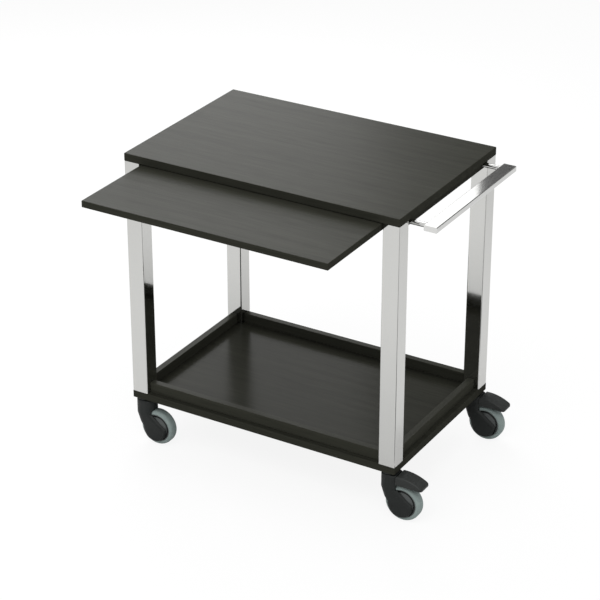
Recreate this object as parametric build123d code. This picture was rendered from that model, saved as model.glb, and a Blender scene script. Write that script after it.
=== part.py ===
"""Buffet trolley: two laminate boards on square steel legs, a pull-out shelf and four castors.

Millimetres, +Z up. +X points to the push handle, -Y to the side where the shelf pulls out.
The origin is on the floor, under the middle of the whole part with its shelf pulled out.
"""
from build123d import *
from math import cos, radians, sin
import os

# Overall sizes
LENGTH = 800
DEPTH = 522
HEIGHT = 845

# Boards, rails and legs
TOP_THICK = 21
BASE_THICK = 21
BOARD_EDGE = 1.5
LEG = 47
LEG_WALL = 1.5
LEG_BEND = 1.5
RAIL_THICK = 19
RAIL_EDGE = 1
APRON_HEIGHT = 26
RIM_HEIGHT = 29

# Leg plugs and the studs that hold the worktop
TOP_PLUG = 12
FOOT_PLUG = 30
STUD_D = 10
STUD_COVER = 8
STEM_COVER = 4
FIT = 0.1

# Pull-out shelf and what it slides on
SHELF_THICK = 18
SHELF_OUT = 256
SHELF_SPARE = 10
SHELF_SIDE_GAP = 3
SHELF_TOP_GAP = 2
SHELF_BACK_GAP = 10
BEARER_THICK = 18
BEARER_LEDGE = 25
GLIDE_THICK = 1
GLIDE_WIDTH = 20
SLIDE_GAP = 0.3
STOP_WIDTH = 20
STOP_LENGTH = 22
STOP_HEIGHT = 16
STOP_SIDE_GAP = 2
BUFFER_D = 12
BUFFER_SPACING = 380

# Push handle
HANDLE_WIDTH = 36
HANDLE_THICK = 15
HANDLE_INSET = 43
HANDLE_GAP = 42
HANDLE_WALL = 1.5
HANDLE_BEND = 0.5
HANDLE_CAP = 2
POST_D = 13
POST_FROM_LEG = 13
BOLT_D = 8
BOLT_HEAD_D = 13
BOLT_HEAD = 6
BOLT_IN_POST = 18

# Castor wheel
WHEEL_D = 100
WHEEL_WIDTH = 30
TYRE_THICK = 10.5
TYRE_SHOULDER = 8
TYRE_DRAFT = 1
TREAD_FLAT = 12
TREAD_CROWN = 2
RIM_WALL = 2
RING_GROOVE = 6.5
RING_DEPTH = 8
DOME_DROP = 4
BOSS_R = 11
BOSS_GAP = 0.5
AXLE_D = 8
RUN = 0.1

# Castor hood and arms, which trail behind the swivel axis
TRAIL = 42.5
WHEEL_GAP = 4
ARM_GAP = 1
SLOT_ROUND = 12
CHEEK = 7
ARM_LOW = 5
ARM_SWEEP = 5
ROOF_THICK = 24
SEAM_DROP = 14
LIP_RISE = 30
LIP_STEP = 2
NOSE_TUCK = 2.5
NOSE_RUN = 6
HOOD_REACH = 12
FOOT_REACH = 95
FORK_EDGE = 4.5

# Castor swivel
FLANGE_THICK = 2.5
RACE_THICK = 2.2
RACE_INSET = 5
STEM_D = 12
KINGPIN_D = 14
KINGPIN_LENGTH = 24
KINGPIN_WALL = 5

# Brake pedal
PEDAL_REACH = 101
PEDAL_CLEAR = 5
PEDAL_TIP = 6
PEDAL_BOW = 6.6
PEDAL_TOP_GAP = 1.2
PEDAL_GAP = 1.5
PEDAL_WALL = 3
PEDAL_CORNER = 8
PEDAL_EDGE = 5
PEDAL_TRAVEL = 7
PEDAL_PIN_D = 5
HINGE_DROP = 18
TONGUE_R = 5.5
TONGUE_HALF = 9
TONGUE_GAP = 0.6
TONGUE_ROOM = 2.5
SHOE_LENGTH = 12
SHOE_PLACE = 17
SHOE_SEAT = 7
SHOE_GAP = 0.4

# Castor places, from the swivel axis and the floor
wheel_r = WHEEL_D / 2
rim_r = wheel_r - TYRE_THICK
groove_r = rim_r - RIM_WALL
dome_r = groove_r - RING_GROOVE
slot_half = WHEEL_WIDTH / 2 + ARM_GAP
head_r = slot_half + CHEEK
axle_half = slot_half + ARM_LOW
roof_under = WHEEL_D + WHEEL_GAP
hood_top = roof_under + ROOF_THICK
flange_under = hood_top + RACE_THICK + SLIDE_GAP
castor_height = flange_under + FLANGE_THICK
hinge_x = KINGPIN_D / 2 + KINGPIN_WALL + TONGUE_R + TONGUE_GAP
hinge_z = hood_top - HINGE_DROP
hood_end = HOOD_REACH + head_r
hood_back = hinge_x + TONGUE_R + PEDAL_GAP
pedal_back = hood_back + PEDAL_GAP
pedal_low = WHEEL_D + PEDAL_CLEAR

# Trolley places
right_reach = max(HANDLE_GAP + HANDLE_WIDTH, PEDAL_REACH - LEG / 2)
x_left = -(LENGTH + right_reach) / 2
x_right = x_left + LENGTH
x_mid = (x_left + x_right) / 2
y_front = (SHELF_OUT - DEPTH) / 2
y_back = y_front + DEPTH
base_top = castor_height + BASE_THICK
top_under = HEIGHT - TOP_THICK
rail_inset = (LEG - RAIL_THICK) / 2
between_x = (x_left + LEG, x_right - LEG)
between_y = (y_front + LEG, y_back - LEG)
shelf_top = top_under - SHELF_TOP_GAP
shelf_under = shelf_top - SHELF_THICK
shelf_front = y_front - SHELF_OUT
shelf_depth = DEPTH - rail_inset - RAIL_THICK - SHELF_BACK_GAP
ledge_top = shelf_under - SLIDE_GAP - GLIDE_THICK
post_z = top_under - HANDLE_THICK / 2
post_places = {"front": between_y[0] + POST_FROM_LEG, "back": between_y[1] - POST_FROM_LEG}
leg_places = {
    "front_left": (x_left + LEG / 2, y_front + LEG / 2),
    "front_right": (x_right - LEG / 2, y_front + LEG / 2),
    "back_left": (x_left + LEG / 2, y_back - LEG / 2),
    "back_right": (x_right - LEG / 2, y_back - LEG / 2),
}
braked = ("front_right", "back_right")


def block(x, y, z):
    """Box between two limits along each axis, given in either order."""
    low = [min(limits) for limits in (x, y, z)]
    size = [abs(limits[1] - limits[0]) for limits in (x, y, z)]
    return Pos(*low) * Box(*size, align=(Align.MIN, Align.MIN, Align.MIN))


def rod(diameter, length, start, direction):
    """Round bar from a point along a direction."""
    solid = Cylinder(diameter / 2, length, align=(Align.CENTER, Align.CENTER, Align.MIN))
    return Plane(origin=start, z_dir=direction) * solid


def cross_rod(diameter, half_length, x, z):
    """Round bar across a castor, centred on its middle plane."""
    return rod(diameter, 2 * half_length, (x, -half_length, z), (0, 1, 0))


def side_slab(edges, half_width):
    """Solid with a side outline in X and Z, centred across Y."""
    return extrude(Plane.XZ * make_face(edges), half_width, both=True)


def board(x, y, z):
    """Board with every edge rounded."""
    return fillet(block(x, y, z).edges(), BOARD_EDGE)


def boards():
    """Worktop and base board, drilled for the studs and the castor stems."""
    top = board((x_left, x_right), (y_front, y_back), (top_under, HEIGHT))
    base = board((x_left, x_right), (y_front, y_back), (castor_height, base_top))
    for x, y in leg_places.values():
        top -= rod(STUD_D + 2 * FIT, TOP_THICK - STUD_COVER + FIT, (x, y, top_under), (0, 0, 1))
        base -= rod(STEM_D + 2 * FIT, BASE_THICK, (x, y, castor_height), (0, 0, 1))
    return {"top_panel": top, "base_board": base}


def legs():
    """Square tubes with a drilled plug in each end, and studs up into the worktop."""
    bore = LEG - 2 * LEG_WALL
    tube = RectangleRounded(LEG, LEG, LEG_BEND + LEG_WALL) - RectangleRounded(bore, bore, LEG_BEND)
    filling = RectangleRounded(bore - 2 * FIT, bore - 2 * FIT, LEG_BEND)
    top_plug = extrude(filling - Circle(STUD_D / 2 + FIT), TOP_PLUG)
    foot_plug = extrude(filling - Circle(STEM_D / 2 + FIT), FOOT_PLUG)
    stud = extrude(Circle(STUD_D / 2), TOP_PLUG + TOP_THICK - STUD_COVER)
    leg = extrude(tube, top_under - base_top)
    nodes = {"leg_" + name: Pos(x, y, base_top) * leg for name, (x, y) in leg_places.items()}
    groups = {
        "leg_top_plugs": (top_plug, top_under - TOP_PLUG),
        "leg_foot_plugs": (foot_plug, base_top),
        "leg_studs": (stud, top_under - TOP_PLUG),
    }
    for name, (shape, z) in groups.items():
        nodes[name] = Compound([Pos(x, y, z) * shape for x, y in leg_places.values()])
    return nodes


def rails():
    """Aprons under the worktop and the raised rim round the base, all centred on the legs."""
    left = (x_left + rail_inset, x_left + rail_inset + RAIL_THICK)
    right = (x_right - rail_inset - RAIL_THICK, x_right - rail_inset)
    front = (y_front + rail_inset, y_front + rail_inset + RAIL_THICK)
    back = (y_back - rail_inset - RAIL_THICK, y_back - rail_inset)
    apron = (top_under - APRON_HEIGHT, top_under)
    rim = (base_top, base_top + RIM_HEIGHT)
    runs = {
        "apron_left": (left, between_y, apron),
        "apron_right": (right, between_y, apron),
        "apron_back": (between_x, back, apron),
        "tray_rim_left": (left, between_y, rim),
        "tray_rim_right": (right, between_y, rim),
        "tray_rim_front": (between_x, front, rim),
        "tray_rim_back": (between_x, back, rim),
    }
    nodes = {name: chamfer(block(*run).edges(), RAIL_EDGE) for name, run in runs.items()}
    for y in post_places.values():
        nodes["apron_right"] -= rod(BOLT_D + 2 * FIT, RAIL_THICK, (right[0], y, post_z), (1, 0, 0))
    return nodes


def pull_out_shelf():
    """Shelf board, with the stop blocks under it."""
    width = (between_x[0] + SHELF_SIDE_GAP, between_x[1] - SHELF_SIDE_GAP)
    shelf = board(width, (shelf_front, shelf_front + shelf_depth), (shelf_under, shelf_top))
    front = between_y[0] + STOP_LENGTH + SLIDE_GAP + SHELF_SPARE
    stops = []
    for face, inward in ((between_x[0], 1), (between_x[1], -1)):
        side = face + inward * (BEARER_LEDGE + STOP_SIDE_GAP)
        span = (side, side + inward * STOP_WIDTH)
        stops.append(block(span, (front, front + STOP_LENGTH), (shelf_under - STOP_HEIGHT, shelf_under)))
    return {"pullout_shelf": shelf, "shelf_stop_blocks": Compound(stops)}


def shelf_guides():
    """L-section bearers with their glides and stops, and the buffers on the back apron."""
    nodes, glides, stops = {}, [], []
    upright = LEG - rail_inset - RAIL_THICK
    low = ledge_top - BEARER_THICK
    for name, face, inward in (("left", between_x[0], 1), ("right", between_x[1], -1)):
        apron = face - inward * upright
        edge = face + inward * BEARER_LEDGE
        bearer = block((apron, face), between_y, (low, top_under))
        nodes["shelf_bearer_" + name] = bearer + block((apron, edge), between_y, (low, ledge_top))
        start = face + inward * SHELF_SIDE_GAP
        strip = (start, start + inward * GLIDE_WIDTH)
        glides.append(block(strip, between_y, (ledge_top, ledge_top + GLIDE_THICK)))
        span = (edge, edge + inward * STOP_WIDTH)
        run = (between_y[0], between_y[0] + STOP_LENGTH)
        stops.append(block(span, run, (ledge_top - STOP_HEIGHT, ledge_top)))
    for y in post_places.values():
        seat = (between_x[1], y, post_z)
        nodes["shelf_bearer_right"] -= rod(BOLT_D + 2 * FIT, upright, seat, (1, 0, 0))
        nodes["shelf_bearer_right"] -= rod(BOLT_HEAD_D + 2 * FIT, BOLT_HEAD, seat, (1, 0, 0))
    nodes["shelf_glides"] = Compound(glides)
    nodes["bearer_stops"] = Compound(stops)
    apron_face = y_back - rail_inset - RAIL_THICK
    buffer_seat = (x_mid, apron_face, shelf_under + SHELF_THICK / 2)
    buffer = rod(BUFFER_D, SHELF_BACK_GAP - SLIDE_GAP, buffer_seat, (0, -1, 0))
    nodes["shelf_buffers"] = Compound([Pos(side * BUFFER_SPACING / 2, 0, 0) * buffer for side in (-1, 1)])
    return nodes


def push_handle():
    """Flat tube with closed ends, on two round posts bolted through the right apron."""
    length = DEPTH - 2 * HANDLE_INSET
    bore = (HANDLE_WIDTH - 2 * HANDLE_WALL, HANDLE_THICK - 2 * HANDLE_WALL)
    outer = RectangleRounded(HANDLE_WIDTH, HANDLE_THICK, HANDLE_BEND + HANDLE_WALL)
    tube = outer - RectangleRounded(*bore, HANDLE_BEND)
    start = (x_right + HANDLE_GAP + HANDLE_WIDTH / 2, y_front + HANDLE_INSET, post_z)
    end = Plane(origin=start, x_dir=(1, 0, 0), z_dir=(0, 1, 0))
    caps = [extrude(end.offset(at) * outer, HANDLE_CAP) for at in (0, length - HANDLE_CAP)]
    nodes = {
        "handle_bar": extrude(end.offset(HANDLE_CAP) * tube, length - 2 * HANDLE_CAP),
        "handle_end_caps": Compound(caps),
    }
    apron_face = x_right - rail_inset
    bolts = []
    for name, y in post_places.items():
        post = rod(POST_D, rail_inset + HANDLE_GAP, (apron_face, y, post_z), (1, 0, 0))
        bore = rod(BOLT_D + 2 * FIT, BOLT_IN_POST + FIT, (apron_face, y, post_z), (1, 0, 0))
        nodes["handle_post_" + name] = post - bore
        head = rod(BOLT_HEAD_D, BOLT_HEAD, (between_x[1], y, post_z), (1, 0, 0))
        reach = apron_face + BOLT_IN_POST - between_x[1]
        bolts.append(head + rod(BOLT_D, reach, (between_x[1], y, post_z), (1, 0, 0)))
    nodes["handle_bolts"] = Compound(bolts)
    return nodes


def hood_plan(nose, half_width, reach, z):
    """Level section of the castor's hood: parallel sides with a round nose and a round back."""
    middle = nose + half_width + reach / 2
    return Pos(middle, 0, z) * SlotCenterToCenter(reach, 2 * half_width)


def hood_outline():
    """Side outline of the hood and arms."""
    front = -2 * head_r
    lip = (TRAIL - rim_r, wheel_r + LIP_STEP)
    sweep = radians(ARM_SWEEP)
    arm_end = (TRAIL + dome_r * cos(sweep), wheel_r - dome_r * sin(sweep))
    edges = [
        Line((front, hood_top), (front, wheel_r + LIP_RISE)),
        Line((front, wheel_r + LIP_RISE), lip),
        ThreePointArc(lip, (TRAIL, wheel_r - rim_r), arm_end),
    ]
    return edges + Polyline(arm_end, (arm_end[0], hood_top), (front, hood_top)).edges()


def wheel_room():
    """Round-shouldered space for the wheel inside the hood and between the arms."""
    section = Rectangle(wheel_r + WHEEL_GAP, 2 * slot_half, align=(Align.MIN, Align.CENTER))
    section = fillet(section.vertices().group_by(Axis.X)[-1], SLOT_ROUND)
    return Pos(TRAIL, 0, wheel_r) * revolve(section, Axis.Y)


def castor_fork(has_brake):
    """Moulded hood and arms in one piece, bored for the kingpin, the axle and any pedal pin."""
    seam = WHEEL_D - SEAM_DROP
    low = wheel_r - rim_r - NOSE_RUN
    head = hood_plan(-head_r, head_r, HOOD_REACH, seam)
    foot = hood_plan(TRAIL - rim_r + NOSE_TUCK, slot_half + ARM_LOW, FOOT_REACH, low)
    form = extrude(head, hood_top - seam) + loft([foot, head], ruled=True)
    form &= side_slab(hood_outline(), 2 * head_r)
    flat = form.edges().filter_by(lambda edge: edge.bounding_box().size.Z < FIT)
    form = fillet(form.edges() - flat.filter_by_position(Axis.Z, seam - FIT, seam + FIT), FORK_EDGE)
    form -= wheel_room()
    form -= cross_rod(AXLE_D + 2 * FIT, axle_half + FIT, TRAIL, wheel_r)
    form -= rod(KINGPIN_D + 2 * RUN, KINGPIN_LENGTH, (0, 0, hood_top), (0, 0, -1))
    if has_brake:
        form -= block((hood_back, hood_end), (-head_r, head_r), (seam, hood_top))
        room = TONGUE_HALF + TONGUE_GAP
        depth = (hinge_x - TONGUE_R - TONGUE_GAP, hood_back)
        form -= block(depth, (-room, room), (wheel_r, hinge_z + TONGUE_R + TONGUE_ROOM))
        form -= cross_rod(PEDAL_PIN_D + 2 * FIT, slot_half + FIT, hinge_x, hinge_z)
    return form


def castor_swivel():
    """Flange with the stem above it and the kingpin below, and the race round the kingpin."""
    pin_low = hood_top - KINGPIN_LENGTH + SLIDE_GAP
    mount = rod(2 * head_r, FLANGE_THICK, (0, 0, flange_under), (0, 0, 1))
    mount += rod(STEM_D, BASE_THICK + FOOT_PLUG - STEM_COVER, (0, 0, castor_height), (0, 0, 1))
    mount += rod(KINGPIN_D, flange_under - pin_low, (0, 0, pin_low), (0, 0, 1))
    ring = Circle(head_r - RACE_INSET) - Circle(KINGPIN_D / 2 + RUN)
    return {"mount": mount, "race": Pos(0, 0, hood_top) * extrude(ring, RACE_THICK)}


def wheel_core():
    """Wheel centre with a flat boss, a domed face and a deep groove inside the rim."""
    bore = AXLE_D / 2 + RUN
    boss = slot_half - BOSS_GAP
    edge = boss - DOME_DROP
    floor = edge - RING_DEPTH
    rim = WHEEL_WIDTH / 2 - TYRE_DRAFT
    middle = ((BOSS_R + dome_r) / 2, boss - DOME_DROP / 4)
    groove = Polyline((dome_r, edge), (dome_r, floor), (groove_r, floor), (groove_r, rim), (rim_r, rim))
    body = Polyline((rim_r, rim), (rim_r, 0), (bore, 0), (bore, boss), (BOSS_R, boss))
    edges = groove.edges() + body.edges() + [ThreePointArc((BOSS_R, boss), middle, (dome_r, edge))]
    half = revolve(make_face(edges), Axis.Y)
    return Pos(TRAIL, 0, wheel_r) * (half + mirror(half, about=Plane.XZ))


def wheel_tyre():
    """Tyre with a flat tread and round shoulders."""
    half = WHEEL_WIDTH / 2
    flat = TREAD_FLAT / 2
    shoulder = wheel_r - TYRE_SHOULDER
    crown = (wheel_r - TREAD_CROWN, (half + flat + TREAD_CROWN) / 2)
    edges = [
        Line((rim_r, TYRE_DRAFT - half), (shoulder, -half)),
        ThreePointArc((shoulder, -half), (crown[0], -crown[1]), (wheel_r, -flat)),
        Line((wheel_r, -flat), (wheel_r, flat)),
        ThreePointArc((wheel_r, flat), crown, (shoulder, half)),
        Line((shoulder, half), (rim_r, half - TYRE_DRAFT)),
        Line((rim_r, half - TYRE_DRAFT), (rim_r, TYRE_DRAFT - half)),
    ]
    return Pos(TRAIL, 0, wheel_r) * revolve(make_face(edges), Axis.Y)


def pedal_outline(wall, low):
    """Side outline of the pedal, drawn in by a wall, down to a lower edge."""
    back, tip = pedal_back + wall, PEDAL_REACH - wall
    back_top = flange_under - PEDAL_TOP_GAP - wall
    tip_top = pedal_low + PEDAL_TIP - wall
    bow = ((back + tip) / 2, (back_top + tip_top) / 2 + PEDAL_BOW)
    sides = Polyline((tip, tip_top), (tip, low), (back, low), (back, back_top))
    return sides.edges() + [ThreePointArc((back, back_top), bow, (tip, tip_top))]


def brake_pedal():
    """Hollow wedge-shaped pedal with a tongue on the hinge pin and a rib that carries the shoe."""
    body = side_slab(pedal_outline(0, pedal_low), head_r)
    body = fillet(body.edges().filter_by(Axis.Z).group_by(Axis.X)[-1], PEDAL_CORNER)
    upper = body.edges().filter_by(lambda edge: edge.bounding_box().min.Z > pedal_low + FIT)
    body = fillet(upper, PEDAL_EDGE)
    body -= side_slab(pedal_outline(PEDAL_WALL, pedal_low), head_r - PEDAL_WALL)
    across = (-TONGUE_HALF, TONGUE_HALF)
    shoe_x = (TRAIL + SHOE_PLACE - SHOE_LENGTH / 2, TRAIL + SHOE_PLACE + SHOE_LENGTH / 2)
    seat = WHEEL_D + SHOE_SEAT
    inside = side_slab(pedal_outline(PEDAL_WALL / 2, 0), head_r)
    body += block(shoe_x, across, (seat, flange_under)) & inside
    tongue = cross_rod(2 * TONGUE_R, TONGUE_HALF, hinge_x, hinge_z)
    tongue += block((hinge_x, pedal_back + PEDAL_WALL), across, (hinge_z - TONGUE_R, hinge_z + TONGUE_R))
    tongue -= cross_rod(PEDAL_PIN_D + 2 * RUN, TONGUE_HALF, hinge_x, hinge_z)
    tyre = cross_rod(2 * (wheel_r + SHOE_GAP), head_r, TRAIL, wheel_r)
    hinge = Axis((hinge_x, 0, hinge_z), (0, 1, 0))
    shoe = block(shoe_x, across, (wheel_r, seat)) - tyre.rotate(hinge, -PEDAL_TRAVEL)
    return {"pedal": body + tongue, "brake_shoe": shoe}


def castors():
    """Four swivel castors under the legs, with a brake pedal on the two by the handle."""
    common = {
        **castor_swivel(),
        "axle": cross_rod(AXLE_D, axle_half, TRAIL, wheel_r),
        "wheel": wheel_core(),
        "tyre": wheel_tyre(),
    }
    plain = {**common, "fork": castor_fork(False)}
    with_brake = {
        **common,
        "fork": castor_fork(True),
        "pedal_pin": cross_rod(PEDAL_PIN_D, slot_half, hinge_x, hinge_z),
        **brake_pedal(),
    }
    nodes = {}
    for name, (x, y) in leg_places.items():
        pieces = with_brake if name in braked else plain
        for piece, shape in pieces.items():
            nodes[f"castor_{name}_{piece}"] = Pos(x, y, 0) * shape
    return nodes


os.makedirs("parts", exist_ok=True)
for make in (boards, legs, rails, pull_out_shelf, shelf_guides, push_handle, castors):
    for node, shape in make().items():
        export_step(shape, f"parts/{node}.step")
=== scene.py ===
"""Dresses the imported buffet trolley: finishes, small fasteners, welds, studio and camera."""

import logging
import math
from dataclasses import dataclass
from enum import Enum
from typing import Callable, Iterable, Optional

import bmesh
import bpy
from mathutils import Matrix, Vector


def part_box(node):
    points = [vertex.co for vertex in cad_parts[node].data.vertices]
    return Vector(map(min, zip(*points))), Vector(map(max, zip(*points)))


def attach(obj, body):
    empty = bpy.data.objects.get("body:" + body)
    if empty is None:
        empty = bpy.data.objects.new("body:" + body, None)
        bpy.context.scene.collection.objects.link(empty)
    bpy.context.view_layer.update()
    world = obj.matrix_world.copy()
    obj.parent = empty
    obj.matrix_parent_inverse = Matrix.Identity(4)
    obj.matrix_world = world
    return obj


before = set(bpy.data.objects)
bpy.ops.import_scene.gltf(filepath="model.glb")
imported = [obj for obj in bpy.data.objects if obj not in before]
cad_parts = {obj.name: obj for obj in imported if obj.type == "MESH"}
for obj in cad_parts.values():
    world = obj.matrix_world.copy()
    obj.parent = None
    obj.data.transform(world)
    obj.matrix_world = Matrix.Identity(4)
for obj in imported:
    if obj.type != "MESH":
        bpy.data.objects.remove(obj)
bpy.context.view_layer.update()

Colour = tuple[float, float, float]
Triple = tuple[float, float, float]
Span = tuple[float, float]
NodePair = tuple[bpy.types.Node, bpy.types.Node]
GroupFiller = Callable[[bpy.types.NodeTree], None]

MM = 0.001
MERGE_DISTANCE = 0.01 * MM
SHARP_ANGLE = math.radians(35)
CORNERS = ("front_left", "front_right", "back_left", "back_right")
DOWN = Vector((0.0, 0.0, -1.0))
UP = Vector((0.0, 0.0, 1.0))
EVEN: Triple = (1.0, 1.0, 1.0)
WHITE: Colour = (1.0, 1.0, 1.0)
MATT = 0.9
# An area lamp looks white where it gives this many watts to a square metre
WATTS_PER_RADIANCE = 4.0
# Places of a Mix node's sockets, which go by the same names for numbers and for colours
MIX_NUMBERS = (2, 3)
MIX_COLOURS = (6, 7)
MIX_COLOUR_OUT = 2

log = logging.getLogger("buffet_trolley")


class GrainAxis(Enum):
    """The way a board's grain runs, as how far the pattern is squeezed along X, Y and Z."""

    ALONG_X = (0.03, 1.0, 1.0)
    ALONG_Y = (1.0, 0.03, 1.0)


class PolishAxis(Enum):
    """The way a steel piece was polished, as how far the marks are drawn out along X, Y and Z."""

    ALONG_Y = (1.0, 0.02, 1.0)
    ALONG_Z = (1.0, 1.0, 0.02)


class Body(Enum):
    """Rigid bodies that new pieces ride on."""

    FRAME = "frame"
    SHELF = "shelf"


RIMS = {
    "tray_rim_front": GrainAxis.ALONG_X,
    "tray_rim_back": GrainAxis.ALONG_X,
    "tray_rim_left": GrainAxis.ALONG_Y,
    "tray_rim_right": GrainAxis.ALONG_Y,
}


def shader_node(
    tree: bpy.types.NodeTree, kind: str, values: Optional[dict[str, object]] = None, **settings: object
) -> bpy.types.Node:
    """Add a node to a tree.

    Args:
        tree: The material's or group's node tree.
        kind: The node's type name.
        values: Input socket names and their fixed values.
        settings: Attributes of the node itself.

    Returns:
        The new node.
    """
    made = tree.nodes.new(kind)
    for name, value in settings.items():
        setattr(made, name, value)
    for name, value in (values or {}).items():
        made.inputs[name].default_value = value
    return made


def rgba(colour: Colour) -> tuple[float, float, float, float]:
    """A colour with full opacity."""
    return (*colour, 1.0)


class ShaderGroups:
    """Effects that several finishes share, each built once as a node group."""

    _built: dict[str, bpy.types.NodeTree] = {}

    @classmethod
    def get(cls, name: str, build: GroupFiller) -> bpy.types.NodeTree:
        """Find a group by name, or build it.

        Args:
            name: The group's name.
            build: Fills a new, empty group tree.

        Returns:
            The shared group tree.
        """
        if name not in cls._built:
            tree = bpy.data.node_groups.new(name, "ShaderNodeTree")
            build(tree)
            cls._built[name] = tree
        return cls._built[name]

    @staticmethod
    def sockets(tree: bpy.types.NodeTree, inputs: dict[str, str], outputs: dict[str, str]) -> NodePair:
        """Make a group's sockets.

        Args:
            tree: The group tree.
            inputs: Input names and socket types.
            outputs: Output names and socket types.

        Returns:
            The group's input node and output node.
        """
        for name, kind in inputs.items():
            tree.interface.new_socket(name=name, in_out="INPUT", socket_type=kind)
        for name, kind in outputs.items():
            tree.interface.new_socket(name=name, in_out="OUTPUT", socket_type=kind)
        return tree.nodes.new("NodeGroupInput"), tree.nodes.new("NodeGroupOutput")

    @classmethod
    def wood_grain(cls, tree: bpy.types.NodeTree) -> None:
        """Fine streaks and short pores of an open-grained wood print.

        Args:
            tree: The new group's tree.
        """
        given, result = cls.sockets(
            tree,
            {
                "Vector": "NodeSocketVector",
                "Dark": "NodeSocketColor",
                "Light": "NodeSocketColor",
                "Smooth": "NodeSocketFloat",
                "Rough": "NodeSocketFloat",
            },
            {"Color": "NodeSocketColor", "Height": "NodeSocketFloat", "Roughness": "NodeSocketFloat"},
        )
        link = tree.links.new
        bands = shader_node(tree, "ShaderNodeTexNoise", {"Scale": 45.0, "Detail": 3.0, "Roughness": 0.55})
        streaks = shader_node(tree, "ShaderNodeTexNoise", {"Scale": 420.0, "Detail": 4.0, "Roughness": 0.6})
        pores = shader_node(tree, "ShaderNodeTexNoise", {"Scale": 900.0, "Detail": 1.0, "Roughness": 0.4})
        for texture in (bands, streaks, pores):
            link(given.outputs["Vector"], texture.inputs["Vector"])
        blend = shader_node(tree, "ShaderNodeMix", {"Factor": 0.6}, data_type="FLOAT")
        for texture, place in zip((bands, streaks), MIX_NUMBERS):
            link(texture.outputs["Fac"], blend.inputs[place])
        spread = shader_node(
            tree, "ShaderNodeMapRange", {"From Min": 0.36, "From Max": 0.64, "To Min": 0.0, "To Max": 1.0}
        )
        link(blend.outputs[0], spread.inputs["Value"])
        tone = shader_node(tree, "ShaderNodeMix", data_type="RGBA")
        link(spread.outputs[0], tone.inputs["Factor"])
        for colour, place in zip(("Dark", "Light"), MIX_COLOURS):
            link(given.outputs[colour], tone.inputs[place])
        link(tone.outputs[MIX_COLOUR_OUT], result.inputs["Color"])
        pits = shader_node(tree, "ShaderNodeMapRange", {"From Min": 0.3, "From Max": 0.42})
        link(pores.outputs["Fac"], pits.inputs["Value"])
        depth = shader_node(tree, "ShaderNodeMath", operation="MULTIPLY")
        link(spread.outputs[0], depth.inputs[0])
        link(pits.outputs[0], depth.inputs[1])
        link(depth.outputs[0], result.inputs["Height"])
        gloss = shader_node(tree, "ShaderNodeMapRange", {"From Min": 0.0, "From Max": 1.0})
        link(depth.outputs[0], gloss.inputs["Value"])
        link(given.outputs["Rough"], gloss.inputs["To Min"])
        link(given.outputs["Smooth"], gloss.inputs["To Max"])
        link(gloss.outputs[0], result.inputs["Roughness"])

    @classmethod
    def edge_band(cls, tree: bpy.types.NodeTree) -> None:
        """A mask for a board's upright edges, from how far a point lies from the board's middle.

        Args:
            tree: The new group's tree.
        """
        given, result = cls.sockets(
            tree,
            {"Vector": "NodeSocketVector", "Middle": "NodeSocketVector", "Reach": "NodeSocketVector"},
            {"Mask": "NodeSocketFloat"},
        )
        link = tree.links.new
        offset = shader_node(tree, "ShaderNodeVectorMath", operation="SUBTRACT")
        link(given.outputs["Vector"], offset.inputs[0])
        link(given.outputs["Middle"], offset.inputs[1])
        away = shader_node(tree, "ShaderNodeVectorMath", operation="ABSOLUTE")
        link(offset.outputs[0], away.inputs[0])
        past = shader_node(tree, "ShaderNodeVectorMath", operation="SUBTRACT")
        link(away.outputs[0], past.inputs[0])
        link(given.outputs["Reach"], past.inputs[1])
        sides = tree.nodes.new("ShaderNodeSeparateXYZ")
        link(past.outputs[0], sides.inputs[0])
        most = shader_node(tree, "ShaderNodeMath", operation="MAXIMUM")
        link(sides.outputs["X"], most.inputs[0])
        link(sides.outputs["Y"], most.inputs[1])
        mask = shader_node(tree, "ShaderNodeMath", operation="GREATER_THAN")
        mask.inputs[1].default_value = 0.0
        link(most.outputs[0], mask.inputs[0])
        link(mask.outputs[0], result.inputs["Mask"])

    @classmethod
    def polish_marks(cls, tree: bpy.types.NodeTree) -> None:
        """Faint drawn-out polishing lines with soft hand smears over them.

        Args:
            tree: The new group's tree.
        """
        given, result = cls.sockets(
            tree,
            {
                "Vector": "NodeSocketVector",
                "Smear Vector": "NodeSocketVector",
                "Smooth": "NodeSocketFloat",
                "Rough": "NodeSocketFloat",
            },
            {"Roughness": "NodeSocketFloat", "Height": "NodeSocketFloat"},
        )
        link = tree.links.new
        lines = shader_node(tree, "ShaderNodeTexNoise", {"Scale": 900.0, "Detail": 2.0, "Roughness": 0.5})
        smears = shader_node(tree, "ShaderNodeTexNoise", {"Scale": 9.0, "Detail": 3.0, "Roughness": 0.5})
        link(given.outputs["Vector"], lines.inputs["Vector"])
        link(given.outputs["Smear Vector"], smears.inputs["Vector"])
        mixed = shader_node(tree, "ShaderNodeMix", {"Factor": 0.45}, data_type="FLOAT")
        for texture, place in zip((lines, smears), MIX_NUMBERS):
            link(texture.outputs["Fac"], mixed.inputs[place])
        spread = shader_node(tree, "ShaderNodeMapRange", {"From Min": 0.35, "From Max": 0.65})
        link(mixed.outputs[0], spread.inputs["Value"])
        link(given.outputs["Smooth"], spread.inputs["To Min"])
        link(given.outputs["Rough"], spread.inputs["To Max"])
        link(spread.outputs[0], result.inputs["Roughness"])
        link(lines.outputs["Fac"], result.inputs["Height"])

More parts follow.
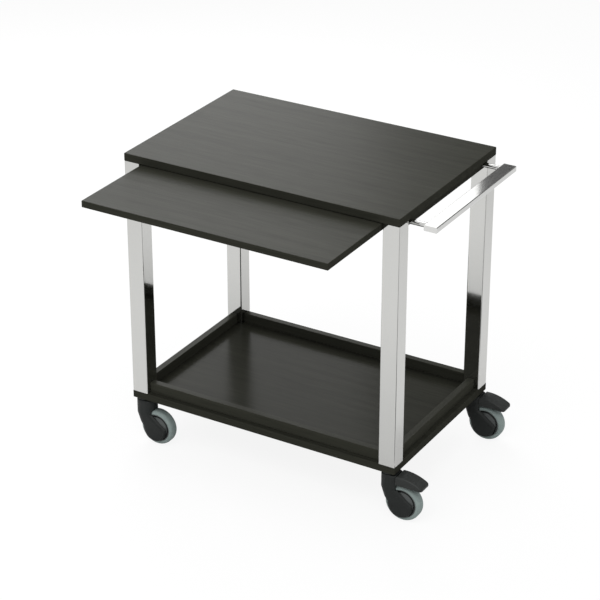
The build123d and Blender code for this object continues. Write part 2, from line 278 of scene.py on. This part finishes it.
    @classmethod
    def moulded_skin(cls, tree: bpy.types.NodeTree) -> None:
        """Spark-eroded mould texture with faint scuffs and uneven colour.

        Args:
            tree: The new group's tree.
        """
        given, result = cls.sockets(
            tree,
            {
                "Vector": "NodeSocketVector",
                "Base": "NodeSocketColor",
                "Scuff": "NodeSocketColor",
                "Grain": "NodeSocketFloat",
                "Smooth": "NodeSocketFloat",
                "Rough": "NodeSocketFloat",
            },
            {"Color": "NodeSocketColor", "Roughness": "NodeSocketFloat", "Height": "NodeSocketFloat"},
        )
        link = tree.links.new
        pits = shader_node(tree, "ShaderNodeTexVoronoi", {"Randomness": 1.0}, feature="SMOOTH_F1")
        cloud = shader_node(tree, "ShaderNodeTexNoise", {"Scale": 60.0, "Detail": 4.0, "Roughness": 0.6})
        link(given.outputs["Vector"], pits.inputs["Vector"])
        link(given.outputs["Grain"], pits.inputs["Scale"])
        link(given.outputs["Vector"], cloud.inputs["Vector"])
        patch = shader_node(tree, "ShaderNodeMapRange", {"From Min": 0.45, "From Max": 0.8})
        link(cloud.outputs["Fac"], patch.inputs["Value"])
        tone = shader_node(tree, "ShaderNodeMix", data_type="RGBA")
        link(patch.outputs[0], tone.inputs["Factor"])
        for colour, place in zip(("Base", "Scuff"), MIX_COLOURS):
            link(given.outputs[colour], tone.inputs[place])
        link(tone.outputs[MIX_COLOUR_OUT], result.inputs["Color"])
        gloss = shader_node(tree, "ShaderNodeMapRange", {"From Min": 0.3, "From Max": 0.7})
        link(cloud.outputs["Fac"], gloss.inputs["Value"])
        link(given.outputs["Smooth"], gloss.inputs["To Min"])
        link(given.outputs["Rough"], gloss.inputs["To Max"])
        link(gloss.outputs[0], result.inputs["Roughness"])
        link(pits.outputs["Distance"], result.inputs["Height"])


def place_group(
    tree: bpy.types.NodeTree, name: str, build: GroupFiller, values: dict[str, object]
) -> bpy.types.Node:
    """Put a shared effect into a material.

    Args:
        tree: The material's node tree.
        name: The group's name.
        build: Fills the group the first time it is used.
        values: This material's own input values.

    Returns:
        The group node.
    """
    made = tree.nodes.new("ShaderNodeGroup")
    made.node_tree = ShaderGroups.get(name, build)
    for socket, value in values.items():
        made.inputs[socket].default_value = value
    return made


def object_vector(tree: bpy.types.NodeTree, scale: Triple = EVEN) -> bpy.types.NodeSocket:
    """Object coordinates through a Mapping node.

    Args:
        tree: The material's node tree.
        scale: Scale of the pattern along each axis.

    Returns:
        The mapped vector's socket.
    """
    place = tree.nodes.new("ShaderNodeTexCoord")
    mapping = shader_node(tree, "ShaderNodeMapping", {"Scale": scale})
    tree.links.new(place.outputs["Object"], mapping.inputs["Vector"])
    return mapping.outputs["Vector"]


def add_bump(
    tree: bpy.types.NodeTree,
    height: bpy.types.NodeSocket,
    shader: bpy.types.Node,
    depth: float,
    strength: float,
) -> None:
    """Feed a height into a shader's normal.

    Args:
        tree: The material's node tree.
        height: Socket with the height, from 0 to 1.
        shader: The Principled shader.
        depth: How deep the pattern is, in metres.
        strength: How far the bump is used, from 0 to 1.
    """
    bump = shader_node(tree, "ShaderNodeBump", {"Distance": depth, "Strength": strength})
    tree.links.new(height, bump.inputs["Height"])
    tree.links.new(bump.outputs["Normal"], shader.inputs["Normal"])


@dataclass(frozen=True)
class Finish:
    """A named surface."""

    name: str

    def start(self) -> tuple[bpy.types.Material, bpy.types.NodeTree, bpy.types.Node]:
        """Make the empty material.

        Returns:
            The material, its node tree and its Principled shader.
        """
        material = bpy.data.materials.new(self.name)
        material.use_nodes = True
        tree = material.node_tree
        return material, tree, tree.nodes["Principled BSDF"]

    def build(self) -> bpy.types.Material:
        """Make the material."""
        raise NotImplementedError


@dataclass(frozen=True)
class LaminateFinish(Finish):
    """Dark open-grained laminate with a satin sheen."""

    grain: GrainAxis = GrainAxis.ALONG_X
    dark: Colour = (0.017, 0.0173, 0.0134)
    light: Colour = (0.026, 0.0265, 0.0205)
    specular: float = 0.025
    smooth: float = 0.31
    rough: float = 0.37
    pore_depth: float = 0.05 * MM
    bump: float = 0.5

    def build(self) -> bpy.types.Material:
        """Make the material, with its grain along the board.

        Returns:
            The material.
        """
        material, tree, shader = self.start()
        group = place_group(
            tree,
            "wood_grain",
            ShaderGroups.wood_grain,
            {
                "Dark": rgba(self.dark),
                "Light": rgba(self.light),
                "Smooth": self.smooth,
                "Rough": self.rough,
            },
        )
        tree.links.new(object_vector(tree, self.grain.value), group.inputs["Vector"])
        tree.links.new(group.outputs["Color"], shader.inputs["Base Color"])
        tree.links.new(group.outputs["Roughness"], shader.inputs["Roughness"])
        shader.inputs["Specular IOR Level"].default_value = self.specular
        add_bump(tree, group.outputs["Height"], shader, self.pore_depth, self.bump)
        return material


@dataclass(frozen=True)
class BandedFinish(LaminateFinish):
    """Laminate of a board whose upright edges carry a matt band."""

    board: str = "top_panel"
    band: float = 1.5 * MM
    band_rough: float = 0.8

    def build(self) -> bpy.types.Material:
        """Make the material, with the board's own edges matt.

        Returns:
            The material.
        """
        material = super().build()
        tree = material.node_tree
        roughness = tree.nodes["Principled BSDF"].inputs["Roughness"]
        low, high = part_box(self.board)
        inner = Vector((self.band, self.band, self.band))
        group = place_group(
            tree,
            "edge_band",
            ShaderGroups.edge_band,
            {"Middle": (low + high) / 2, "Reach": (high - low) / 2 - inner},
        )
        tree.links.new(object_vector(tree), group.inputs["Vector"])
        blend = shader_node(tree, "ShaderNodeMix", data_type="FLOAT")
        plain, banded = MIX_NUMBERS
        blend.inputs[banded].default_value = self.band_rough
        tree.links.new(group.outputs["Mask"], blend.inputs["Factor"])
        tree.links.new(roughness.links[0].from_socket, blend.inputs[plain])
        tree.links.new(blend.outputs[0], roughness)
        return material


@dataclass(frozen=True)
class RimFinishWithPaintedLight(BandedFinish):
    """Laminate of a tray rim, painted a little lighter than the boards' to lift the shade that falls inside
    the tray.
    """

    # Painted light: the boards' grain colours made a fifth lighter, to offset the shade that falls inside the
    # tray
    dark: Colour = (0.0205, 0.0209, 0.0161)
    light: Colour = (0.0313, 0.0319, 0.0247)
    band: float = 1.0 * MM


@dataclass(frozen=True)
class ApronFinish(LaminateFinish):
    """Matt laminate of the rails under the worktop."""

    smooth: float = 0.75
    rough: float = 0.85


@dataclass(frozen=True)
class SteelFinish(Finish):
    """Steel with fine marks along the way it was polished."""

    polish: PolishAxis = PolishAxis.ALONG_Z
    colour: Colour = (0.522, 0.522, 0.508)
    smooth: float = 0.04
    rough: float = 0.09
    mark_depth: float = 0.002 * MM
    bump: float = 0.3

    def build(self) -> bpy.types.Material:
        """Make the material, with its marks along the piece.

        Returns:
            The material.
        """
        material, tree, shader = self.start()
        group = place_group(
            tree, "polish_marks", ShaderGroups.polish_marks, {"Smooth": self.smooth, "Rough": self.rough}
        )
        tree.links.new(object_vector(tree, self.polish.value), group.inputs["Vector"])
        tree.links.new(object_vector(tree), group.inputs["Smear Vector"])
        tree.links.new(group.outputs["Roughness"], shader.inputs["Roughness"])
        shader.inputs["Base Color"].default_value = rgba(self.colour)
        shader.inputs["Metallic"].default_value = 1.0
        add_bump(tree, group.outputs["Height"], shader, self.mark_depth, self.bump)
        return material


@dataclass(frozen=True)
class MouldedFinish(Finish):
    """Moulded plastic or rubber with a fine skin."""

    base: Colour = (0.0115, 0.0131, 0.0124)
    scuff: Colour = (0.0152, 0.017, 0.0162)
    specular: float = 0.15
    grain: float = 1500.0
    smooth: float = 0.36
    rough: float = 0.5
    skin_depth: float = 0.03 * MM
    bump: float = 0.35

    def build(self) -> bpy.types.Material:
        """Make the material, with its fine skin.

        Returns:
            The material.
        """
        material, tree, shader = self.start()
        group = place_group(
            tree,
            "moulded_skin",
            ShaderGroups.moulded_skin,
            {
                "Base": rgba(self.base),
                "Scuff": rgba(self.scuff),
                "Grain": self.grain,
                "Smooth": self.smooth,
                "Rough": self.rough,
            },
        )
        tree.links.new(object_vector(tree), group.inputs["Vector"])
        tree.links.new(group.outputs["Color"], shader.inputs["Base Color"])
        tree.links.new(group.outputs["Roughness"], shader.inputs["Roughness"])
        shader.inputs["Specular IOR Level"].default_value = self.specular
        add_bump(tree, group.outputs["Height"], shader, self.skin_depth, self.bump)
        return material


class Finishes:
    """Every material of the trolley, made once."""

    def __init__(self) -> None:
        """Build the materials."""
        self.apron_x = ApronFinish("laminate_apron_along_x").build()
        self.apron_y = ApronFinish("laminate_apron_along_y", grain=GrainAxis.ALONG_Y).build()
        self.worktop = BandedFinish("laminate_worktop", board="top_panel").build()
        self.shelf = BandedFinish("laminate_shelf", board="pullout_shelf").build()
        self.tray_floor = BandedFinish(
            "laminate_tray_floor", board="base_board", specular=0.019, smooth=0.17, rough=0.21
        ).build()
        self.rims = {
            name: RimFinishWithPaintedLight("laminate_" + name, board=name, grain=grain).build()
            for name, grain in RIMS.items()
        }
        self.batten = LaminateFinish(
            "stained_batten",
            grain=GrainAxis.ALONG_Y,
            dark=(0.012, 0.01, 0.008),
            light=(0.035, 0.03, 0.024),
            specular=0.2,
        ).build()
        self.leg_steel = SteelFinish("polished_leg_steel").build()
        self.handle_steel = SteelFinish(
            "polished_handle_steel", polish=PolishAxis.ALONG_Y, colour=(0.585, 0.585, 0.575)
        ).build()
        self.plated = SteelFinish("plated_steel", colour=(0.5, 0.5, 0.49), smooth=0.28, rough=0.42).build()
        self.coated = MouldedFinish(
            "black_coated_steel", base=(0.014, 0.015, 0.015), scuff=(0.02, 0.021, 0.021), smooth=0.35
        ).build()
        self.castor = MouldedFinish("castor_plastic").build()
        self.pedal = MouldedFinish(
            "pedal_plastic", base=(0.0212, 0.023, 0.0219), scuff=(0.0258, 0.0276, 0.0265)
        ).build()
        # Painted highlight: the hub's grey is set far lighter than the fork's, to stand in for the highlight
        # on its domed face
        self.hub = MouldedFinish(
            "hub_plastic_painted_highlight",
            base=(0.053, 0.058, 0.057),
            scuff=(0.064, 0.069, 0.068),
            specular=0.3,
            smooth=0.28,
            rough=0.4,
        ).build()
        self.tyre = MouldedFinish(
            "grey_tyre", base=(0.186, 0.227, 0.218), scuff=(0.218, 0.259, 0.247), smooth=0.5, rough=0.68
        ).build()
        self.rubber = MouldedFinish(
            "black_rubber", base=(0.012, 0.012, 0.012), scuff=(0.02, 0.02, 0.02), smooth=0.6, rough=0.75
        ).build()
        self.glide = MouldedFinish(
            "glide_plastic", base=(0.02, 0.02, 0.02), scuff=(0.03, 0.03, 0.03), smooth=0.3, rough=0.42
        ).build()


def dress(material: bpy.types.Material, nodes: Iterable[str]) -> None:
    """Give CAD nodes a finish.

    Args:
        material: The finish.
        nodes: Names of the CAD nodes.
    """
    for name in nodes:
        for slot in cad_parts[name].material_slots:
            slot.material = material
        log.info("dressed %s in %s", name, material.name)


def new_piece(
    name: str, mesh: bmesh.types.BMesh, material: bpy.types.Material, body: Body
) -> bpy.types.Object:
    """Turn a finished bmesh into a piece that rides on a body.

    Args:
        name: The piece's name.
        mesh: The shape, in its place. It is freed here.
        material: The finish.
        body: The rigid body it moves with.

    Returns:
        The new object, at the origin.
    """
    bmesh.ops.recalc_face_normals(mesh, faces=mesh.faces)
    for face in mesh.faces:
        face.smooth = True
    for edge in mesh.edges:
        edge.smooth = edge.is_manifold and edge.calc_face_angle() < SHARP_ANGLE
    data = bpy.data.meshes.new(name)
    mesh.to_mesh(data)
    mesh.free()
    data.materials.append(material)
    piece = bpy.data.objects.new(name, data)
    bpy.context.scene.collection.objects.link(piece)
    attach(piece, body.value)
    log.info("made %s on %s", name, body.value)
    return piece


@dataclass
class ScrewSet:
    """Raised screw heads with a cross recess, standing on a face."""

    name: str
    body: Body
    facing: Vector
    radius: float = 4.2 * MM
    wall: float = 1.0 * MM
    crown: float = 1.1 * MM
    recess: float = 1.4 * MM
    cells: int = 9
    wing: int = 2

    def in_cross(self, face: bmesh.types.BMFace) -> bool:
        """Tell whether a cell of the flat grid belongs to the cross recess.

        Args:
            face: The cell.

        Returns:
            True where it does.
        """
        cell = 2 * self.radius / self.cells
        near, far = sorted(round(abs(reach) / cell) for reach in face.calc_center_median().xy)
        return near == 0 and far <= self.wing

    def crown_over(self, vert: bmesh.types.BMVert) -> None:
        """Move a corner of the flat square grid onto the round crown.

        Args:
            vert: The corner.
        """
        share = max(abs(vert.co.x), abs(vert.co.y)) / self.radius
        if share:
            vert.co *= 1 + (share * self.radius / vert.co.length - 1) * share**2
        vert.co.z = self.wall + self.crown * (1 - (vert.co.xy.length / self.radius) ** 2)

    def head(self, mesh: bmesh.types.BMesh, place: Vector) -> None:
        """Add one closed head.

        Args:
            mesh: The set's bmesh.
            place: Middle of the head on its face.
        """
        grid = bmesh.ops.create_grid(
            mesh, x_segments=self.cells, y_segments=self.cells, size=self.radius
        )["verts"]
        arms = [f for f in {f for v in grid for f in v.link_faces} if self.in_cross(f)]
        rim = [e for e in {e for v in grid for e in v.link_edges} if e.is_boundary]
        for vert in grid:
            self.crown_over(vert)
        sunk = bmesh.ops.extrude_face_region(mesh, geom=arms)["geom"]
        bmesh.ops.delete(mesh, geom=arms, context="FACES_ONLY")
        floor = [g for g in sunk if isinstance(g, bmesh.types.BMVert)]
        bmesh.ops.translate(mesh, verts=floor, vec=(0, 0, -self.recess))
        skirt = bmesh.ops.extrude_edge_only(mesh, edges=rim)["geom"]
        foot = [g for g in skirt if isinstance(g, bmesh.types.BMVert)]
        bmesh.ops.translate(mesh, verts=foot, vec=(0, 0, -self.wall))
        hem = [g for g in skirt if isinstance(g, bmesh.types.BMEdge) and g.is_boundary]
        bmesh.ops.edgeloop_fill(mesh, edges=hem)
        turn = self.facing.to_track_quat("Z", "Y").to_matrix().to_4x4()
        bmesh.ops.transform(mesh, matrix=Matrix.Translation(place) @ turn, verts=list({*grid, *floor, *foot}))

    def build(self, places: Iterable[Vector], material: bpy.types.Material) -> bpy.types.Object:
        """Make the whole set as one piece.

        Args:
            places: Middle of each head on its face.
            material: The finish.

        Returns:
            The new piece.
        """
        mesh = bmesh.new()
        for place in places:
            self.head(mesh, place)
        return new_piece(self.name, mesh, material, self.body)


def spaced(low: float, high: float, count: int) -> list[float]:
    """Even places between two limits, with half a space left at each end.

    Args:
        low: Lower limit.
        high: Upper limit.
        count: How many places.

    Returns:
        The places.
    """
    return [low + (high - low) * (i + 0.5) / count for i in range(count)]


@dataclass
class Joinery:
    """Worktop, base board, aprons and tray rims, with the screws that hold the rims."""

    long_rim_screws: int = 4
    short_rim_screws: int = 3

    def dress(self, finishes: Finishes) -> None:
        """Give the boards and rails their laminate.

        Args:
            finishes: The trolley's materials.
        """
        dress(finishes.worktop, ("top_panel",))
        dress(finishes.apron_x, ("apron_back",))
        dress(finishes.apron_y, ("apron_left", "apron_right"))
        dress(finishes.tray_floor, ("base_board",))
        for name, material in finishes.rims.items():
            dress(material, (name,))

    def rim_screw_places(self) -> list[Vector]:
        """Find the places of the screws under the base board.

        Returns:
            Places along the middle of each rim.
        """
        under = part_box("base_board")[0].z
        places = []
        for name, grain in RIMS.items():
            low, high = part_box(name)
            middle = (low + high) / 2
            if grain is GrainAxis.ALONG_X:
                along = spaced(low.x, high.x, self.long_rim_screws)
                places += [Vector((x, middle.y, under)) for x in along]
            else:
                along = spaced(low.y, high.y, self.short_rim_screws)
                places += [Vector((middle.x, y, under)) for y in along]
        return places

    def build(self, finishes: Finishes) -> None:
        """Make the screws under the base board."""
        ScrewSet("rim_screws", Body.FRAME, DOWN).build(self.rim_screw_places(), finishes.plated)


@dataclass
class LegFrame:
    """Polished legs with their plugs and studs."""

    legs: tuple[str, ...] = tuple("leg_" + corner for corner in CORNERS)
    inner: tuple[str, ...] = ("leg_top_plugs", "leg_foot_plugs", "leg_studs")

    def dress(self, finishes: Finishes) -> None:
        """Give the legs their polish."""
        dress(finishes.leg_steel, self.legs)
        dress(finishes.plated, self.inner)


@dataclass
class PullOutShelf:
    """Shelf, its bearers and stops, with their screws."""

    bearers: tuple[str, ...] = ("shelf_bearer_left", "shelf_bearer_right")
    bearer_screws: int = 4
    screw_inset: float = 8.0 * MM

    def dress(self, finishes: Finishes) -> None:
        """Give the shelf its laminate and its guides their own finishes.

        Args:
            finishes: The trolley's materials.
        """
        dress(finishes.shelf, ("pullout_shelf",))
        dress(finishes.batten, (*self.bearers, "bearer_stops", "shelf_stop_blocks"))
        dress(finishes.glide, ("shelf_glides",))
        dress(finishes.rubber, ("shelf_buffers",))

    def bearer_places(self) -> list[Vector]:
        """Find the places of the screws that hold the bearers.

        Returns:
            Places under each bearer's upright.
        """
        places = []
        for name in self.bearers:
            low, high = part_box(name)
            x = low.x + self.screw_inset if name.endswith("left") else high.x - self.screw_inset
            places += [Vector((x, y, low.z)) for y in spaced(low.y, high.y, self.bearer_screws)]
        return places

    def stop_places(self, node: str) -> list[Vector]:
        """Find the middle of the underside of each of a pair of blocks.

        Args:
            node: CAD node that holds the pair.

        Returns:
            One place for each block.
        """
        low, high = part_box(node)
        inset = (high.y - low.y) / 2
        return [Vector((x, (low.y + high.y) / 2, low.z)) for x in (low.x + inset, high.x - inset)]

    def build(self, finishes: Finishes) -> None:
        """Make the screws under the bearers and the stops.

        Args:
            finishes: The trolley's materials.
        """
        sets = (
            (ScrewSet("bearer_screws", Body.FRAME, DOWN), self.bearer_places()),
            (ScrewSet("bearer_stop_screws", Body.FRAME, DOWN), self.stop_places("bearer_stops")),
            (ScrewSet("shelf_stop_screws", Body.SHELF, DOWN), self.stop_places("shelf_stop_blocks")),
        )
        for screws, places in sets:
            screws.build(places, finishes.plated)


@dataclass
class PushHandle:
    """Flat bar on two posts, with a weld bead round each post."""

    posts: tuple[str, ...] = ("handle_post_front", "handle_post_back")
    bead: float = 1.1 * MM
    bead_sides: int = 10
    steps: int = 40

    def dress(self, finishes: Finishes) -> None:
        """Give the handle its polish."""
        dress(finishes.handle_steel, ("handle_bar", "handle_end_caps", *self.posts))
        dress(finishes.plated, ("handle_bolts",))

    def build(self, finishes: Finishes) -> None:
        """Spin a small round section about each post's axis, where it meets the bar.

        Args:
            finishes: The trolley's materials.
        """
        mesh = bmesh.new()
        for name in self.posts:
            low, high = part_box(name)
            centre = Vector((high.x, (low.y + high.y) / 2, (low.z + high.z) / 2))
            radius = (high.z - low.z) / 2
            ring = bmesh.ops.create_circle(mesh, segments=self.bead_sides, radius=self.bead)["verts"]
            place = Matrix.Translation(centre + radius * UP) @ Matrix.Rotation(math.pi / 2, 4, "X")
            bmesh.ops.transform(mesh, matrix=place, verts=ring)
            edges = list({e for v in ring for e in v.link_edges})
            bmesh.ops.spin(
                mesh,
                geom=ring + edges,
                cent=centre,
                axis=(1, 0, 0),
                angle=2 * math.pi,
                steps=self.steps,
                use_merge=True,
            )
        bmesh.ops.remove_doubles(mesh, verts=mesh.verts, dist=MERGE_DISTANCE)
        new_piece("handle_welds", mesh, finishes.handle_steel, Body.FRAME)


@dataclass
class Castor:
    """One swivel castor, with or without a brake pedal."""

    corner: str

    def dress(self, finishes: Finishes) -> None:
        """Give the castor's pieces their plastics, tyre and steel.

        Args:
            finishes: The trolley's materials.
        """
        looks = {
            "fork": finishes.castor,
            "race": finishes.glide,
            "axle": finishes.plated,
            "wheel": finishes.hub,
            "tyre": finishes.tyre,
            "mount": finishes.coated,
            "pedal": finishes.pedal,
            "brake_shoe": finishes.rubber,
            "pedal_pin": finishes.plated,
        }
        for part, material in looks.items():
            name = f"castor_{self.corner}_{part}"
            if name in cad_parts:
                dress(material, (name,))


@dataclass(frozen=True)
class Wall:
    """A plane in the studio that screens stand on and cards stand or lie on."""

    centre: Vector
    normal: Vector
    roll: float = 0.0

    def turn(self) -> Matrix:
        """The turn that lays X to the left across the wall, Y up it and Z away from the object."""
        facing = self.normal.to_track_quat("-Z", "Y").to_matrix().to_4x4()
        return facing @ Matrix.Rotation(self.roll, 4, "Z")

    def at(self, across: float, up: float) -> Vector:
        """Find a point on the wall.

        Args:
            across: Metres to the right of its middle, seen from the object.
            up: Metres above it.

        Returns:
            The point.
        """
        return self.centre + self.turn() @ Vector((-across, up, 0.0))


@dataclass(frozen=True)
class Patch:
    """A rectangle on a wall, where a screen shines or a card hangs or lies."""

    name: str
    wall: Wall
    across: Span
    up: Span

    def size(self) -> Span:
        """Width and height in metres."""
        return self.across[1] - self.across[0], self.up[1] - self.up[0]

    def middle(self) -> Vector:
        """The patch's middle."""
        return self.wall.at(sum(self.across) / 2, sum(self.up) / 2)


BACK_LEFT = Wall(Vector((-1.438, 2.513, 2.008)), Vector((0.466, -0.795, -0.388)))
BACK_RIGHT = Wall(Vector((1.83, 2.4, 2.15)), Vector((-0.46, -0.76, -0.45)))
FRONT_FLOOR = Wall(Vector((1.378, -0.374, 0.004)), UP, math.radians(26.5))
NEAR_FLOOR = Wall(Vector((0.0, 0.0, 0.002)), UP)


@dataclass
class Studio:
    """White floor, lamp, light screens, cards for the steel to mirror, and the camera."""

    camera_place: Triple = (2.5535, -4.2923, 2.9997)
    camera_turn: Triple = (math.radians(63.23), 0.0, math.radians(30.70))
    lens: float = 129.98
    sensor: float = 36.0
    floor_radius: float = 14.0
    floor_sides: int = 64
    floor_colour: Colour = (0.74, 0.74, 0.74)
    floor_white: float = 0.88
    ambient: float = 0.9
    lamp_place: Triple = (0.6, -2.2, 4.2)
    lamp_target: Triple = (0.0, 0.1, 0.4)
    lamp_size: Span = (3.0, 3.0)
    lamp_power: float = 120.0
    screens: tuple[tuple[Patch, float], ...] = (
        (Patch("left_screen", BACK_LEFT, (-1.5, -0.2), (-1.1, 2.2)), 3.1),
        (Patch("middle_screen", BACK_LEFT, (-0.2, 0.27), (-1.1, 2.2)), 2.75),
        (Patch("handle_screen", BACK_LEFT, (0.42, 0.665), (-0.08, 0.34)), 0.65),
    )
    dark_cards: tuple[Patch, ...] = (
        Patch("left_card", BACK_LEFT, (0.665, 2.2), (-1.1, 2.4)),
        Patch("right_card", BACK_RIGHT, (-1.0, 1.0), (-2.0, 1.0)),
        Patch("floor_card", FRONT_FLOOR, (-0.75, 0.75), (-0.34, 0.34)),
    )
    dark_colour: Colour = (0.14, 0.14, 0.14)
    pale_card: Patch = Patch("shade_card", NEAR_FLOOR, (-2.0, 2.0), (-2.0, 2.0))

    def build(self) -> None:
        """Set up the whole studio."""
        self.build_world()
        self.build_floor()
        place = Vector(self.lamp_place)
        self.build_lamp("overhead", place, Vector(self.lamp_target) - place, self.lamp_size, self.lamp_power)
        for screen, radiance in self.screens:
            self.build_screen(screen, radiance)
        for card in self.dark_cards:
            self.build_card(card, self.dark_colour)
        self.build_card(self.pale_card, self.floor_colour)
        self.build_camera()
        bpy.context.scene.view_settings.view_transform = "Standard"

    @staticmethod
    def seen_directly(tree: bpy.types.NodeTree) -> bpy.types.NodeSocket:
        """Build a switch that is 1 for camera, glossy and transmission rays.

        Args:
            tree: Tree that the switch goes into.

        Returns:
            The switch's socket.
        """
        path = tree.nodes.new("ShaderNodeLightPath")
        pair = shader_node(tree, "ShaderNodeMath", operation="MAXIMUM")
        tree.links.new(path.outputs["Is Camera Ray"], pair.inputs[0])
        tree.links.new(path.outputs["Is Glossy Ray"], pair.inputs[1])
        every = shader_node(tree, "ShaderNodeMath", operation="MAXIMUM")
        tree.links.new(pair.outputs[0], every.inputs[0])
        tree.links.new(path.outputs["Is Transmission Ray"], every.inputs[1])
        return every.outputs[0]

    def build_world(self) -> None:
        """Make surroundings that look white and light the object softly."""
        world = bpy.data.worlds.new("white_room")
        bpy.context.scene.world = world
        world.use_nodes = True
        tree = world.node_tree
        soft = tree.nodes["Background"]
        soft.inputs["Color"].default_value = rgba(WHITE)
        soft.inputs["Strength"].default_value = self.ambient
        white = shader_node(tree, "ShaderNodeBackground", {"Color": rgba(WHITE), "Strength": 1.0})
        mix = tree.nodes.new("ShaderNodeMixShader")
        tree.links.new(self.seen_directly(tree), mix.inputs[0])
        tree.links.new(soft.outputs[0], mix.inputs[1])
        tree.links.new(white.outputs[0], mix.inputs[2])
        tree.links.new(mix.outputs[0], tree.nodes["World Output"].inputs["Surface"])

    def build_floor(self) -> None:
        """Make a round pale floor that keeps the object's shadow."""
        mesh = bmesh.new()
        bmesh.ops.create_circle(mesh, cap_ends=True, segments=self.floor_sides, radius=self.floor_radius)
        data = bpy.data.meshes.new("floor")
        mesh.to_mesh(data)
        mesh.free()
        floor = bpy.data.objects.new("floor", data)
        bpy.context.scene.collection.objects.link(floor)
        material = bpy.data.materials.new("pale_floor")
        material.use_nodes = True
        tree = material.node_tree
        paint = tree.nodes["Principled BSDF"]
        paint.inputs["Base Color"].default_value = rgba(self.floor_colour)
        paint.inputs["Roughness"].default_value = MATT
        paint.inputs["Specular IOR Level"].default_value = 0.0
        glow = shader_node(tree, "ShaderNodeEmission", {"Color": rgba(WHITE), "Strength": 1.0})
        share = shader_node(tree, "ShaderNodeMath", operation="MULTIPLY")
        share.inputs[1].default_value = self.floor_white
        tree.links.new(self.seen_directly(tree), share.inputs[0])
        mix = tree.nodes.new("ShaderNodeMixShader")
        tree.links.new(share.outputs[0], mix.inputs[0])
        tree.links.new(paint.outputs[0], mix.inputs[1])
        tree.links.new(glow.outputs[0], mix.inputs[2])
        tree.links.new(mix.outputs[0], tree.nodes["Material Output"].inputs["Surface"])
        data.materials.append(material)

    @staticmethod
    def build_lamp(name: str, place: Vector, facing: Vector, size: Span, power: float) -> None:
        """Add one soft lamp.

        Args:
            name: The lamp's name.
            place: Where it stands.
            facing: The way it shines.
            size: Width and height in metres.
            power: Power in watts.
        """
        lamp = bpy.data.lights.new(name, "AREA")
        lamp.shape = "RECTANGLE"
        lamp.size, lamp.size_y = size
        lamp.energy = power
        holder = bpy.data.objects.new(name, lamp)
        holder.location = place
        holder.rotation_euler = facing.to_track_quat("-Z", "Y").to_euler()
        bpy.context.scene.collection.objects.link(holder)

    def build_screen(self, screen: Patch, radiance: float) -> None:
        """Light one patch of a wall.

        Args:
            screen: The patch.
            radiance: How bright it looks, where 1 is white.
        """
        width, height = screen.size()
        power = radiance * WATTS_PER_RADIANCE * width * height
        self.build_lamp(screen.name, screen.middle(), screen.wall.normal, (width, height), power)

    @staticmethod
    def build_card(patch: Patch, colour: Colour) -> None:
        """Put up a matt card that only reflections show.

        Args:
            patch: Where it hangs or lies.
            colour: Its grey.
        """
        width, height = patch.size()
        place = Matrix.Translation(patch.middle()) @ patch.wall.turn()
        spread = Matrix.Diagonal((width / 2, height / 2, 1.0, 1.0))
        mesh = bmesh.new()
        bmesh.ops.create_grid(mesh, x_segments=1, y_segments=1, size=1.0, matrix=place @ spread)
        data = bpy.data.meshes.new(patch.name)
        mesh.to_mesh(data)
        mesh.free()
        material = bpy.data.materials.new(patch.name)
        material.use_nodes = True
        paint = material.node_tree.nodes["Principled BSDF"]
        paint.inputs["Base Color"].default_value = rgba(colour)
        paint.inputs["Roughness"].default_value = MATT
        data.materials.append(material)
        card = bpy.data.objects.new(patch.name, data)
        bpy.context.scene.collection.objects.link(card)
        card.visible_camera = False
        card.visible_diffuse = False
        card.visible_shadow = False

    def build_camera(self) -> None:
        """Stand the camera where the photograph was taken from."""
        camera = bpy.data.cameras.new("camera")
        camera.lens = self.lens
        camera.sensor_width = self.sensor
        holder = bpy.data.objects.new("camera", camera)
        holder.location = self.camera_place
        holder.rotation_euler = self.camera_turn
        bpy.context.scene.collection.objects.link(holder)
        bpy.context.scene.camera = holder


def main() -> None:
    """Build and dress every sub-assembly, then the studio."""
    logging.basicConfig(level=logging.INFO)
    finishes = Finishes()
    joinery = Joinery()
    legs = LegFrame()
    shelf = PullOutShelf()
    handle = PushHandle()
    for assembly in (joinery, legs, shelf, handle, *(Castor(corner) for corner in CORNERS)):
        assembly.dress(finishes)
    for assembly in (joinery, shelf, handle):
        assembly.build(finishes)
    Studio().build()


if __name__ == "__main__":
    main()
